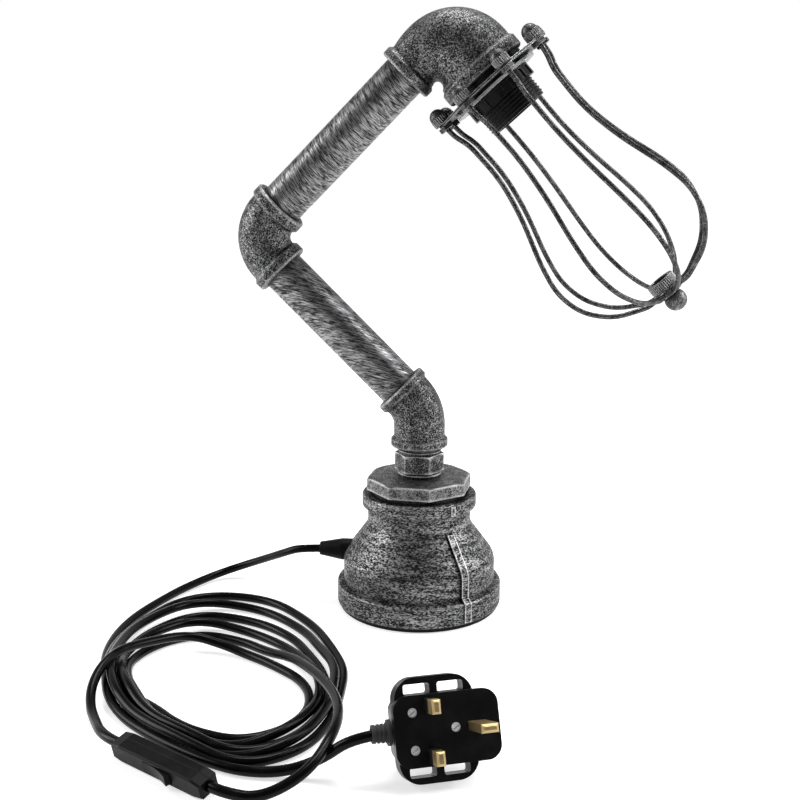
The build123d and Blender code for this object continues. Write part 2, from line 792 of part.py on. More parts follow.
with BuildPart() as switch_base:
    shell_half(switch_split, -half_depth - switch_split)
    with BuildSketch(switch_plane.offset(-half_depth)):
        with Locations(*screw_spots):
            Circle(2.2)
    extrude(amount=2.4, mode=Mode.SUBTRACT)
finish(switch_base, "switch_base")

with BuildPart() as switch_screws:
    with BuildSketch(switch_plane.offset(-half_depth + 0.8)):
        with Locations(*screw_spots):
            Circle(2.15)
    extrude(amount=1.6)
    with BuildSketch(switch_plane.offset(-half_depth + 0.8)):
        with Locations(*screw_spots):
            Rectangle(3.2, 0.7)
    extrude(amount=0.8, mode=Mode.SUBTRACT)
finish(switch_screws, "switch_screws")

with BuildPart() as rocker_pin:
    with BuildSketch(Plane(origin=pin_centre, z_dir=switch_up)):
        Circle(rocker_pin_od / 2)
    extrude(amount=window_width / 2 + rocker_pin_seat, both=True)
finish(rocker_pin, "rocker_pin")

with BuildPart() as switch_rocker:
    tipped = switch_along.rotate(Axis((0, 0, 0), switch_up), -rocker_tilt)
    half_rocker = rocker_length / 2
    with BuildSketch(Plane(origin=pin_centre, x_dir=tipped, z_dir=switch_up * -1)):
        with BuildLine():
            Spline(
                (-half_rocker + 0.6, rocker_pin_depth + 1.4),
                (0, rocker_pin_depth + 0.5),
                (half_rocker - 0.6, rocker_pin_depth + 1.4),
            )
            Polyline(
                (half_rocker - 0.6, rocker_pin_depth + 1.4),
                (half_rocker, 1.2),
                (2.6, -2.4),
                (-2.6, -2.4),
                (-half_rocker, 1.2),
                (-half_rocker + 0.6, rocker_pin_depth + 1.4),
            )
        make_face()
        Circle(rocker_pin_od / 2 + running_fit, mode=Mode.SUBTRACT)
    extrude(amount=rocker_width / 2, both=True)
finish(switch_rocker, "switch_rocker")

# ---- Plug ------------------------------------------------------------------------------------------
plug_along = Vector(cos(radians(plug_azimuth)), sin(radians(plug_azimuth)), 0)
plug_front = Vector(sin(radians(plug_azimuth)), -cos(radians(plug_azimuth)), 0)
plug_out = plug_front * cos(radians(plug_lean)) + up * sin(radians(plug_lean))
loop_back = plug_base_depth + loop_depth
plug_rest = plug_width / 2 * cos(radians(plug_lean)) + loop_back * sin(radians(plug_lean))
plug_face = Plane(origin=Vector(*plug_face_centre, plug_rest), x_dir=plug_along, z_dir=plug_out)
half_plug = plug_length / 2
pin_core_thickness = pin_thickness - 2 * pin_sleeve_wall
pin_core_width = line_pin_width - 2 * pin_sleeve_wall
line_pin_spots = [(line_pin_at, pin_pitch / 2), (line_pin_at, -pin_pitch / 2)]
grip_centre = plug_face.from_local_coords((-half_plug, 0, -grip_below_face))
grip_axis = Plane(origin=grip_centre, x_dir=plug_along * -1, z_dir=plug_out)


def pin_holes():
    """Slots for the three pins through the plug's base."""
    with Locations((earth_pin_at, 0)):
        Rectangle(earth_pin_width + 2 * running_fit, pin_thickness + 2 * running_fit, mode=Mode.SUBTRACT)
    with Locations(*line_pin_spots):
        Rectangle(pin_thickness + 2 * running_fit, line_pin_width + 2 * running_fit, mode=Mode.SUBTRACT)


with BuildPart() as plug_base:
    with BuildSketch(plug_face.offset(-plug_base_depth)):
        RectangleRounded(plug_length, plug_body_width, plug_corner)
        pin_holes()
    extrude(amount=plug_base_depth)
    with BuildSketch(plug_face):
        with Locations(*plug_screw_places):
            Circle(plug_screw_od / 2 + running_fit)
    extrude(amount=-plug_base_depth, mode=Mode.SUBTRACT)
finish(plug_base, "plug_base")

with BuildPart() as plug_cover:
    with BuildSketch(plug_face.offset(-plug_base_depth)):
        RectangleRounded(plug_length, plug_body_width, plug_corner)
    extrude(amount=plug_base_depth - plug_depth, taper=plug_taper)
    back = plug_cover.faces().sort_by(Axis(plug_face.origin, plug_out))[0]
    fillet(back.edges(), 2.5)
    with BuildSketch(plug_face.offset(-loop_back)):
        with Locations(((loop_start + loop_end) / 2, 0)):
            RectangleRounded(loop_end - loop_start, plug_width, 10)
        RectangleRounded(plug_length - 2 * loop_wall, plug_body_width - 2 * loop_wall, 4, mode=Mode.SUBTRACT)
        window_y = (plug_width / 2 - loop_wall + plug_body_width / 2) / 2
        window_size = plug_width / 2 - loop_wall - plug_body_width / 2
        before_strut = (loop_start + 4.5, loop_strut_at - loop_strut / 2)
        behind_strut = (loop_strut_at + loop_strut / 2, loop_end - 4.5)
        for low, high in (before_strut, behind_strut):
            with Locations(((low + high) / 2, window_y), ((low + high) / 2, -window_y)):
                RectangleRounded(high - low, window_size, 1.2, mode=Mode.SUBTRACT)
    extrude(amount=loop_depth)
    with BuildSketch(Plane(origin=grip_centre, z_dir=plug_along)):
        Circle(cord_hole_r)
    extrude(amount=grip_cord_depth, both=True, mode=Mode.SUBTRACT)
finish(plug_cover, "plug_cover")

with BuildPart() as earth_pin:
    with BuildSketch(plug_face.offset(-plug_base_depth)):
        with Locations((earth_pin_at, 0)):
            Rectangle(earth_pin_width, pin_thickness)
    extrude(amount=plug_base_depth + earth_pin_length)
    tip = earth_pin.faces().sort_by(Axis(plug_face.origin, plug_out))[-1]
    chamfer(tip.edges(), 1.2)
finish(earth_pin, "earth_pin")

with BuildPart() as line_pins:
    with BuildSketch(plug_face.offset(-plug_base_depth)):
        with Locations(*line_pin_spots):
            Rectangle(pin_thickness, line_pin_width)
    extrude(amount=plug_base_depth)
    with BuildSketch(plug_face):
        with Locations(*line_pin_spots):
            Rectangle(pin_core_thickness, pin_core_width)
    extrude(amount=pin_sleeve_length)
    with BuildSketch(plug_face.offset(pin_sleeve_length)):
        with Locations(*line_pin_spots):
            Rectangle(pin_thickness, line_pin_width)
    extrude(amount=line_pin_length - pin_sleeve_length)
    tips = line_pins.faces().group_by(Axis(plug_face.origin, plug_out))[-1]
    chamfer(tips.edges(), 1.0)
finish(line_pins, "line_pins")

with BuildPart() as pin_sleeves:
    with BuildSketch(plug_face):
        with Locations(*line_pin_spots):
            Rectangle(pin_thickness, line_pin_width)
            Rectangle(pin_core_thickness, pin_core_width, mode=Mode.SUBTRACT)
    extrude(amount=pin_sleeve_length)
finish(pin_sleeves, "pin_sleeves")

with BuildPart() as plug_screws:
    with BuildSketch(plug_face.offset(-0.6)):
        with Locations(*plug_screw_places):
            Circle(plug_screw_od / 2)
    extrude(amount=-plug_base_depth + 0.6)
    with BuildSketch(plug_face.offset(-0.6)):
        with Locations(*plug_screw_places):
            Rectangle(plug_screw_od - 0.8, 0.8, rotation=35)
    extrude(amount=-0.9, mode=Mode.SUBTRACT)
finish(plug_screws, "plug_screws")

with BuildPart() as plug_grip:
    grip_end = grip_length
    grip = [
        (0, cord_hole_r),
        (0, grip_flange_od / 2),
        (1.6, grip_flange_od / 2),
        (1.6, grip_od / 2),
        (grip_end, grip_od / 2 - 0.4),
        (grip_end, cord_hole_r),
    ]
    with BuildSketch(grip_axis):
        with BuildLine():
            Polyline(*grip, close=True)
        make_face()
        for groove in range(3):
            with Locations((2.9 + groove * 2.0, grip_od / 2)):
                Rectangle(0.9, 1.8, mode=Mode.SUBTRACT)
    revolve(axis=Axis(grip_axis.origin, grip_axis.x_dir))
finish(plug_grip, "plug_grip")

# ---- Lead, coil, run and tail of the cord ----------------------------------------------------------
floor_level = cord_od / 2
grip_mouth = grip_axis.from_local_coords((grip_length, 0, 0))


def on_switch(distance):
    """Point on the switch's long axis, at a distance from its middle."""
    return tuple(switch_middle + switch_along * distance)


def on_grip(distance):
    """Point on the plug grip's axis, at a distance outside its mouth."""
    return tuple(grip_mouth - plug_along * distance)


def lay_tube(points, name):
    """A length of the cord as a tube along its route."""
    with BuildPart() as tube:
        with BuildLine() as route:
            radii = rounded_path(points)
        with BuildSketch(route.line ^ 0):
            Circle(cord_od / 2)
        sweep(path=route.line)
    length = route.wire().length
    share = tube.part.volume / (pi * cord_od**2 / 4 * length)
    print(name, [round(radius) for radius in radii], "length", round(length), "volume", round(share, 3))
    finish(tube, name)


lead_points = [
    (-50, 0, gland_height),
    (-77.5, 0, gland_height),
    (-98, 15.5, 22),
    (-117, 30.5, 10.5),
    (-139, 27, 3.8),
    (-150.5, 5, floor_level),
    (-164.5, -20, floor_level),
    (-179, -61, floor_level),
    (-177, -105, floor_level),
    (-163, -149, floor_level),
    on_switch(-half_switch - 18),
    on_switch(-half_switch + switch_cord_depth),
]
lay_tube(lead_points, "cord_lead")

run_points = [
    on_switch(half_switch - switch_cord_depth),
    on_switch(half_switch + 9),
    (-47, -244, 4.5),
    (-27.5, -232, 14),
    (-16, -208, 27),
    (-18.2, -181, 24),
    (-24.5, -156, 17.5),
    (-36, -136, 11),
]
lay_tube(run_points, "cord_run")

tail_points = [
    (-62, -203, 5),
    (-43, -205.5, floor_level),
    (-28, -211, 7.5),
    on_grip(8),
    on_grip(-grip_cord_depth),
]
lay_tube(tail_points, "cord_tail")

with BuildPart() as cord_coil:
    with BuildSketch():
        with Locations(coil_centre):
            Ellipse(coil_half_length, coil_half_width, rotation=coil_azimuth)
        with Locations(coil_eye_centre):
            Ellipse(coil_eye_half_length, coil_eye_half_width, rotation=coil_eye_azimuth, mode=Mode.SUBTRACT)
    extrude(amount=coil_height)
finish(cord_coil, "cord_coil")
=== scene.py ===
"""Looks of the industrial pipe table lamp: camera, finishes, cord, threads and knurls, and studio."""
import json
from math import cos, exp, pi, radians, sin

import bpy
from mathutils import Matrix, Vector


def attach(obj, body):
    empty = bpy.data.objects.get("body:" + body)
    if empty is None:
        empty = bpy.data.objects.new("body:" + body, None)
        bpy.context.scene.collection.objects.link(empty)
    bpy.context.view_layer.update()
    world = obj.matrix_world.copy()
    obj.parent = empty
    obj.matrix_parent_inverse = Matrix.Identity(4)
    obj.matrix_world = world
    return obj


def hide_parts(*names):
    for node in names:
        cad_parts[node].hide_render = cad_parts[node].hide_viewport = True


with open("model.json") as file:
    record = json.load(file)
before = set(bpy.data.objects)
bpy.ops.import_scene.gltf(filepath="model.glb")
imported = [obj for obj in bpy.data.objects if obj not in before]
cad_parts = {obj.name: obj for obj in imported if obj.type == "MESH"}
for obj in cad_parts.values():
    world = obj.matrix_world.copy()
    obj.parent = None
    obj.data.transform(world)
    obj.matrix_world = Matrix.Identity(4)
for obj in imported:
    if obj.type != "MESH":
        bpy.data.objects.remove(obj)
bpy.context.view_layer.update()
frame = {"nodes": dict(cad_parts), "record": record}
scene = bpy.context.scene
scene.view_settings.view_transform = "Standard"
MM = 0.001                      # the cord, threads and knurls are written in mm, the rest in m


# ---- Camera ----------------------------------------------------------------------------------------
CAMERA_DOWN = 12.2246           # degrees below level
CAMERA_LEFT = 6.387             # degrees to the left of +Y

camera = bpy.data.objects.new("camera", bpy.data.cameras.new("camera"))
scene.collection.objects.link(camera)
camera.location = (0.0635, -0.6772, 0.2811)
camera.rotation_euler = (radians(90 - CAMERA_DOWN), 0, radians(CAMERA_LEFT))
camera.data.lens = 50
camera.data.sensor_width = 36
camera.data.clip_start = 0.05
scene.camera = camera


# ---- Node graphs -----------------------------------------------------------------------------------
MIX_COLOR_A, MIX_COLOR_B, MIX_COLOR_OUT = 6, 7, 2      # the colour sockets of a Mix node


class Graph:
    """A node tree and short ways to add nodes to it."""

    def __init__(self, tree):
        self.tree = tree

    def add(self, kind, **settings):
        node = self.tree.nodes.new(kind)
        for key, value in settings.items():
            setattr(node, key, value)
        return node

    def set(self, node, socket, value):
        """Links an output to a socket, or writes a constant on it."""
        target = node.inputs[socket]
        if isinstance(value, bpy.types.NodeSocket):
            self.tree.links.new(value, target)
        else:
            target.default_value = value

    def set_all(self, node, values):
        for socket, value in values.items():
            self.set(node, socket, value)
        return node.outputs

    def math(self, operation, a, b, clamp=False):
        node = self.add("ShaderNodeMath", operation=operation, use_clamp=clamp)
        return self.set_all(node, {0: a, 1: b})[0]

    def vector_math(self, operation, values):
        return self.set_all(self.add("ShaderNodeVectorMath", operation=operation), values)

    def ramp(self, value, low, high, out_low=0.0, out_high=1.0):
        """Carries low to out_low and high to out_high, and stays at those beyond."""
        return self.set_all(self.add("ShaderNodeMapRange"), {
            "Value": value, "From Min": low, "From Max": high,
            "To Min": out_low, "To Max": out_high})["Result"]

    def mix(self, share, a, b):
        """Colour a where the share is 0, and b where it is 1."""
        node = self.add("ShaderNodeMix", data_type="RGBA")
        a, b = ((*color, 1) if isinstance(color, tuple) else color for color in (a, b))
        return self.set_all(node, {0: share, MIX_COLOR_A: a, MIX_COLOR_B: b})[MIX_COLOR_OUT]


class Finish(Graph):
    """A Principled material."""

    def __init__(self, name, color, roughness, metallic=0.0):
        self.material = bpy.data.materials.new(name)
        self.material.use_nodes = True
        super().__init__(self.material.node_tree)
        self.shader = self.tree.nodes["Principled BSDF"]
        self.set_all(self.shader, {"Base Color": (*color, 1), "Roughness": roughness, "Metallic": metallic})
        self.here = self.add("ShaderNodeTexCoord").outputs["Object"]

    def noise(self, scale, detail, roughness, distortion=0.0, at=None):
        return self.set_all(self.add("ShaderNodeTexNoise"), {
            "Vector": self.here if at is None else at, "Scale": scale, "Detail": detail,
            "Roughness": roughness, "Distortion": distortion})["Fac"]

    def stretched(self, axis, along, across):
        """Coordinates in which a texture is fine along an axis and long across it."""
        height = self.vector_math("DOT_PRODUCT", {0: self.here, 1: axis})["Value"]
        more = self.math("MULTIPLY", height, along - across)
        spread = self.vector_math("SCALE", {0: axis, "Scale": more})["Vector"]
        base = self.vector_math("SCALE", {0: self.here, "Scale": across})["Vector"]
        return self.vector_math("ADD", {0: base, 1: spread})["Vector"]

    def bump(self, height, strength, distance, normal):
        return self.set_all(self.add("ShaderNodeBump"), {
            "Height": height, "Strength": strength, "Distance": distance, "Normal": normal})["Normal"]

    def eased_normal(self, radius):
        """The normal with sharp edges rounded off."""
        return self.set_all(self.add("ShaderNodeBevel", samples=6), {"Radius": radius})["Normal"]

    def edge_highlight_share(self, eased):
        """Share of an edge that gets a painted highlight: where the eased normal leaves the face's own."""
        own = self.add("ShaderNodeNewGeometry").outputs["Normal"]
        agreement = self.vector_math("DOT_PRODUCT", {0: eased, 1: own})["Value"]
        return self.ramp(agreement, 0.995, 0.86)

    def rims(self, distance):
        """Share of a convex edge, sharp or rounded, from how soon rays inside the piece leave it; it
        carries the painted edge highlight.
        """
        node = self.add("ShaderNodeAmbientOcclusion", samples=8, inside=True, only_local=True)
        return self.ramp(self.set_all(node, {"Distance": distance})["AO"], 0.9, 0.55)

    def clear_of_painted_shade(self, distance):
        """1 in the open and 0 in corners, where painted shade darkens the silver."""
        node = self.add("ShaderNodeAmbientOcclusion", samples=6)
        return self.ramp(self.set_all(node, {"Distance": distance})["AO"], 0.35, 0.9)

    def finish(self, color, roughness, normal):
        self.set_all(self.shader, {"Base Color": color, "Roughness": roughness, "Normal": normal})
        return self.material


# ---- Finishes --------------------------------------------------------------------------------------
EASED_RADIUS = 0.0004           # edges are rounded over this
CORNER_SHADE_REACH = 0.005            # painted shade darkens corners within this
PATCH_SCALE = 190               # of the patches with more or less silver
PATCH_STRETCH = (2.2, 0.3)      # of those patches along and across the strokes


def pewter(name, dark, light, grain=None, streak_axis=None, streak=None, cover=0.5, rim=0.0022,
           depth=0.00008, base_roughness=0.5, shine=0.62, patch=0.35, soft=0.085):
    """Black metal dry-brushed with silver: silver speckle or strokes, painted highlight on edges, painted
    shade in corners.

    It has either speckle of scale grain, or strokes that are fine along streak_axis and long across it,
    with streak as the two scales. cover is how much silver there is, patch how unevenly it lies, and
    soft how softly it ends. rim is the reach of the bright edges, a painted highlight over rubbed silver,
    of brightness shine.
    """
    f = Finish(name, light, base_roughness, metallic=0.92)
    if streak_axis:
        fine = f.noise(1.0, 3, 0.68, 0.3, f.stretched(streak_axis, *streak))
        coarse = f.noise(PATCH_SCALE, 3, 0.6, 0.5, f.stretched(streak_axis, *PATCH_STRETCH))
    else:
        fine = f.noise(grain, 3, 0.68, 0.8)
        coarse = f.noise(PATCH_SCALE, 3, 0.6, 0.5)
    brushed = f.math("ADD", fine, f.math("MULTIPLY", coarse, patch))
    middle = 0.62 + patch * 0.5 - cover * 0.2
    clear_of_painted_shade = f.clear_of_painted_shade(CORNER_SHADE_REACH)
    # painted shade: the silver is taken out of corners and crevices
    silver = f.math("MULTIPLY", f.ramp(brushed, middle - soft, middle + soft), clear_of_painted_shade, clamp=True)
    # painted highlight, with rubbed silver: convex edges lightened towards shine
    edges = f.math("MULTIPLY", f.rims(rim), f.ramp(fine, 0.3, 0.5))
    wear_and_edge_highlight = f.math("MULTIPLY", edges, clear_of_painted_shade, clamp=True)
    color = f.mix(wear_and_edge_highlight, f.mix(silver, dark, light), (shine, shine, shine * 1.005))
    roughness = f.ramp(silver, 0, 1, base_roughness + 0.12, base_roughness - 0.06)
    return f.finish(color, roughness, f.bump(fine, 0.8, depth, f.eased_normal(EASED_RADIUS)))


def plastic(name, color, roughness, metallic=0.0):
    """Smooth plastic, rubber, brass or steel with a fine skin, faint wear, and eased edges lightened by a
    painted highlight.
    """
    f = Finish(name, color, roughness, metallic)
    if not metallic:
        f.set(f.shader, "Specular IOR Level", 0.1)
    skin = f.noise(2600, 3, 0.6)
    wear = f.noise(120, 4, 0.65)
    eased = f.eased_normal(EASED_RADIUS)
    lighter = tuple(min(1.0, c * 1.7 + 0.006) for c in color)
    wear_and_edge_highlight = f.mix(f.math("MULTIPLY", f.ramp(wear, 0.45, 0.75), 0.35), color, lighter)
    # painted highlight: edges lightened towards the lighter colour
    wear_and_edge_highlight = f.mix(f.math("MULTIPLY", f.edge_highlight_share(eased), 0.4), wear_and_edge_highlight, lighter)
    rough = f.ramp(wear, 0.3, 0.7, roughness - 0.05, roughness + 0.08)
    return f.finish(wear_and_edge_highlight, rough, f.bump(skin, 0.35, 0.00003, eased))


def grey(level, blue):
    return (level, level, blue)


# the strokes on the pipes run slantwise round them
PIPE = dict(dark=grey(0.014, 0.0145), light=grey(0.37, 0.374), streak=(2100, 190), cover=0.36,
            depth=0.00003, base_roughness=0.38, soft=0.12)
METALS = {
    "cast_metal": dict(dark=grey(0.006, 0.0065), light=grey(0.36, 0.364), grain=1250, cover=0.26,
                       patch=0.22, shine=0.75),
    "bell_metal": dict(dark=grey(0.008, 0.0085), light=grey(0.34, 0.344), streak_axis=(0, 0, 1),
                       streak=(1500, 560), cover=0.38, rim=0.0013, shine=0.66),
    "lower_metal": dict(PIPE, streak_axis=(0.179, 0.447, 0.877)),
    "upper_metal": dict(PIPE, streak_axis=(0.77, -0.24, 0.59)),
    "octagon_metal": dict(dark=grey(0.015, 0.0155), light=grey(0.27, 0.273), grain=1500, depth=0.00005),
    "cage_metal": dict(dark=grey(0.010, 0.011), light=grey(0.27, 0.273), grain=1700, cover=0.12,
                       rim=0.0005, depth=0.00002, base_roughness=0.38, shine=0.42, patch=0.3, soft=0.13),
    "cap_metal": dict(dark=grey(0.014, 0.015), light=grey(0.30, 0.304), grain=2600, cover=0.1,
                      rim=0.0003, depth=0.00002, base_roughness=0.42, shine=0.5, patch=0.1, soft=0.13),
    "ball_metal": dict(dark=grey(0.05, 0.051), light=grey(0.30, 0.304), grain=1500, cover=0.3,
                       rim=0.0003, depth=0.00002),
}
SMOOTH = {                      # colour, roughness and, for metals, metallic
    "holder_black": ((0.006, 0.006, 0.0065), 0.34),
    "washer_grey": ((0.42, 0.43, 0.44), 0.3),
    "contact_brass": ((0.52, 0.37, 0.15), 0.3, 1.0),
    "pad_rubber": ((0.004, 0.004, 0.004), 0.35),
    "cord_black": ((0.0015, 0.0015, 0.0017), 0.22),
    "relief_black": ((0.004, 0.004, 0.0045), 0.42),
    "switch_black": ((0.003, 0.003, 0.0035), 0.36),
    "plug_black": ((0.005, 0.005, 0.0055), 0.34),
    "pin_brass": ((0.36, 0.27, 0.13), 0.42, 1.0),
    "screw_steel": ((0.80, 0.80, 0.80), 0.5, 0.6),
    "grip_grey": ((0.05, 0.05, 0.052), 0.5),
}
finishes = {name: pewter(name, **look) for name, look in METALS.items()}
finishes.update((name, plastic(name, *look)) for name, look in SMOOTH.items())


# ---- Route of the cord, in mm ------------------------------------------------------------------------
CORD_D = 5.2
LEAD = [(-50, 0, 33.6), (-77, 0, 33.6), (-91, 7, 26.5), (-106, 19.5, 17.5), (-121.5, 28, 9.5),
        (-138, 25.5, 4), (-151, 9, 2.6), (-161.5, -14, 2.6), (-175, -58, 2.6)]
CROSSING = [(-145.5, -113, 14.5), (-154, -129, 16.8), (-158.5, -144, 14.0), (-159, -157, 8.5),
            (-155, -169, 4.0), (-148, -181, 3.2)]       # over the left side of the coil, down to the switch
SWITCH = (-98.1, -223.2, 6.18)
SWITCH_DIR = (0.8607, -0.5090)
ON_SWITCH = (-44.7, -23.7, 23.7, 39.7)                  # the cord's points from the switch's middle
RUN = [(-47, -244, 4.5), (-27.5, -232, 12), (-19.5, -209, 20), (-21, -187, 19.5), (-27.5, -166, 17.5),
       (-38, -145, 15), (-49.5, -126.5, 12), (-61, -109.5, 8.4)]
TAIL = [(-79, -213.5, 2.6), (-61, -219.5, 2.6), (-42, -218.5, 3), (-25, -216, 9), (-8.9, -218.9, 23.3),
        (10.0, -212.3, 23.3)]

# The coil lies between an outermost lane, 0, and an innermost one, 1, round MIDDLE. Each has its radius
# every STEP degrees from +X towards +Y.
MIDDLE = (-97.0, -138.0)
STEP = 22.5
OUTER = [70, 71, 78, 95, 124, 138, 101, 75, 62, 56, 54, 56, 65.5, 92, 89, 77]
INNER = [52, 44.5, 39, 40, 44.5, 54, 64, 59, 46, 40.5, 39, 42, 49, 61.5, 64, 60]

# The inner turn, from the lead to the crossing: its angles, and its lane and lift by angle.
INNER_ANGLES = [153 + 20.5 * index for index in range(17)]
INNER_LANE = [(150, -0.36), (231, 1.2), (262, 1.16), (302, 1.03), (500, 1.0)]
INNER_LIFT = [(440, 0), (500, 9)]

# The five passes of the coil, from the run to the tail. A pass starts at PASS_START degrees, at its
# right-hand quarter, and ends on the near side.
PASS_START = -45
COIL_STEPS = range(3, 77)
RIGHT = [0.9, 0.7, 0.5, 0.3, 0.1]       # lane of each pass at the right
FAR = [0.82, 0.62, 0.42, 0.2, 0.0]      # over the far side
NEAR = [0.8, 0.6, 0.4, 0.2, 0.0]        # and on the near side
WOBBLE = 0.03                           # of the lanes, which aren't quite even
UPPER = [0, 1, 0, 1, 0]                 # passes that ride in the upper layer where the turns bunch up
BUNCHED = [(-66, 0), (-38, 1), (34, 1), (54, 0), (98, 0), (124, 1), (266, 1), (298, 0)]
LAYER = 4.3                             # lift of the upper layer
HUMP = 5.2                              # lift of each pass over the lead
HUMP_ANGLE = 175                        # where the outermost lane crosses the lead
HUMP_SLANT = 36                         # how much later the innermost lane does
HUMP_HALF = 27.0                        # half the length of the hump, in degrees


def around(table, angle):
    """Smooth value of a closed table at an angle in degrees."""
    index, t = divmod((angle % 360) / STEP, 1)
    p0, p1, p2, p3 = (table[(int(index) + j) % len(table)] for j in (-1, 0, 1, 2))
    return p1 + 0.5 * t * (p2 - p0 + t * (2 * p0 - 5 * p1 + 4 * p2 - p3 + t * (3 * (p1 - p2) + p3 - p0)))


def in_lane(angle, lane, lift):
    radius = around(OUTER, angle) * (1 - lane) + around(INNER, angle) * lane
    return (MIDDLE[0] + radius * cos(radians(angle)), MIDDLE[1] + radius * sin(radians(angle)),
            CORD_D / 2 + lift)


def eased(marks, angle):
    """Value between (angle, value) marks, eased from each to the next."""
    for (a0, v0), (a1, v1) in zip(marks, marks[1:]):
        if angle <= a1:
            t = min(max((angle - a0) / (a1 - a0), 0.0), 1.0)
            return v0 + (v1 - v0) * t * t * (3 - 2 * t)
    return marks[-1][1]


def coil_points():
    points = []
    for step in COIL_STEPS:
        turn, angle = divmod(step * STEP - PASS_START, 360)
        turn = int(turn)
        angle += PASS_START
        lanes = [(PASS_START, NEAR[turn - 1] if turn else 0), (-5, RIGHT[turn]), (26, FAR[turn]),
                 (90, FAR[turn]), (170, NEAR[turn])]
        lane = eased(lanes, angle) + WOBBLE * sin(2.3 * step)
        lift = LAYER * UPPER[turn] * eased(BUNCHED, angle)
        lift += HUMP * exp(-((angle - HUMP_ANGLE - HUMP_SLANT * NEAR[turn]) / HUMP_HALF) ** 4)
        points.append(in_lane(angle, lane, lift))
    return points


inner_turn = [in_lane(angle, eased(INNER_LANE, angle), eased(INNER_LIFT, angle)) for angle in INNER_ANGLES]
in_switch = [(SWITCH[0] + d * SWITCH_DIR[0], SWITCH[1] + d * SWITCH_DIR[1], SWITCH[2]) for d in ON_SWITCH]
route = LEAD + inner_turn + CROSSING + in_switch + RUN + coil_points() + TAIL


# ---- The cord --------------------------------------------------------------------------------------
def piece_of(obj, body, finish):
    """Puts a made piece on its body, with its finish."""
    scene.collection.objects.link(obj)
    obj.data.materials.append(finishes[finish])
    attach(obj, body)
    return obj


curve = bpy.data.curves.new("flex", "CURVE")
curve.dimensions = "3D"
curve.bevel_depth = CORD_D / 2 * MM
curve.bevel_resolution = 5
curve.resolution_u = 8
curve.use_fill_caps = True
run = curve.splines.new("NURBS")
run.points.add(len(route) - 1)
for point, place in zip(run.points, route):
    point.co = (*(c * MM for c in place), 1)
run.order_u = 3
run.use_endpoint_u = True
flex = piece_of(bpy.data.objects.new("flex", curve), "foot", "cord_black")
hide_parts("cord_lead", "cord_run", "cord_tail", "cord_coil")


# ---- Threads and knurls, too fine for the CAD model, in mm -------------------------------------------
UP = Vector((0, 0, 1))
SIDE = Vector((0, 1, 0))                # across every axis that a thread or knurl goes round
THREAD_FLANK = 0.42                     # half the ridge's width at its root, in pitches
THREAD_CREST = 0.06                     # and at its top
THREAD_STEPS = 40                       # per turn
RUN_OUT = 10                            # steps over which a thread rises from nothing
SUNK = 0.2                              # depth of the thread's root in the cylinder
KNURL_SUNK = 0.15                       # and of a knurl's


def mesh_object(name, verts, faces):
    mesh = bpy.data.meshes.new(name)
    mesh.from_pydata(verts, [], faces)
    mesh.validate()
    return bpy.data.objects.new(name, mesh)


def thread(name, origin, axis, radius, height, pitch, length, inward=False):
    """The ridge of a thread: a triangular section wound round an axis, running out at both ends."""
    along = Vector(axis).normalized()
    across = along.cross(SIDE).normalized()
    steps = int(THREAD_STEPS * (length / pitch - 0.9))
    verts = []
    faces = []
    for step in range(steps + 1):
        angle = 2 * pi * step / THREAD_STEPS
        out = across * cos(angle) + SIDE * sin(angle)
        top = height * min(1.0, step / RUN_OUT, (steps - step) / RUN_OUT)
        for rise, shift in ((-SUNK, -THREAD_FLANK), (top, -THREAD_CREST), (top, THREAD_CREST),
                            (-SUNK, THREAD_FLANK)):
            reach = radius - rise if inward else radius + rise
            place = pitch * (step / THREAD_STEPS + 0.45 + shift)
            verts.append((Vector(origin) + along * place + out * reach) * MM)
    for step in range(steps):
        a, b = 4 * step, 4 * step + 4
        for edge in range(4):
            following = (edge + 1) % 4
            faces.append((a + edge, a + following, b + following, b + edge))
    last = 4 * steps
    faces.append((3, 2, 1, 0))
    faces.append((last, last + 1, last + 2, last + 3))
    return mesh_object(name, verts, faces)


def knurl(name, origins, axis, radius, length, count, height):
    """Straight ridges round one or more cylinders, tapered at their ends."""
    along = Vector(axis).normalized()
    across = along.cross(SIDE).normalized()
    half = pi * radius / count * 0.8
    verts = []
    faces = []
    for origin in origins:
        for index in range(count):
            angle = 2 * pi * index / count
            out = across * cos(angle) + SIDE * sin(angle)
            tangent = SIDE * cos(angle) - across * sin(angle)
            base = len(verts)
            for place, rise in ((0.0, 0.02), (0.12, height), (0.88, height), (1.0, 0.02)):
                spot = Vector(origin) + along * (length * place)
                for sideways, up in ((-half, -KNURL_SUNK), (0.0, rise), (half, -KNURL_SUNK)):
                    verts.append((spot + out * (radius + up) + tangent * sideways) * MM)
            for row in range(3):
                a = base + 3 * row
                for edge in range(3):
                    following = (edge + 1) % 3
                    faces.append((a + edge, a + following, a + 3 + following, a + 3 + edge))
            faces.append((base + 2, base + 1, base))
            faces.append((base + 9, base + 10, base + 11))
    return mesh_object(name, verts, faces)


CORNER_TOP = Vector((15.698, 0, 354.667))       # where the upper pipe's axis meets the head's
HEAD = Vector((sin(radians(138.4)), 0, cos(radians(138.4))))
HEAD_ACROSS = Vector((cos(radians(41.6)), 0, sin(radians(41.6))))
CAP_NUTS = 38.9 - 4.6                           # their place along the head
WIRE_CIRCLE = 38
FIRST_WIRE = 29.1                               # degrees, with the other seven 45 apart
HUB_RING = 39.65 + 153.4


def on_head(distance):
    return CORNER_TOP + HEAD * distance


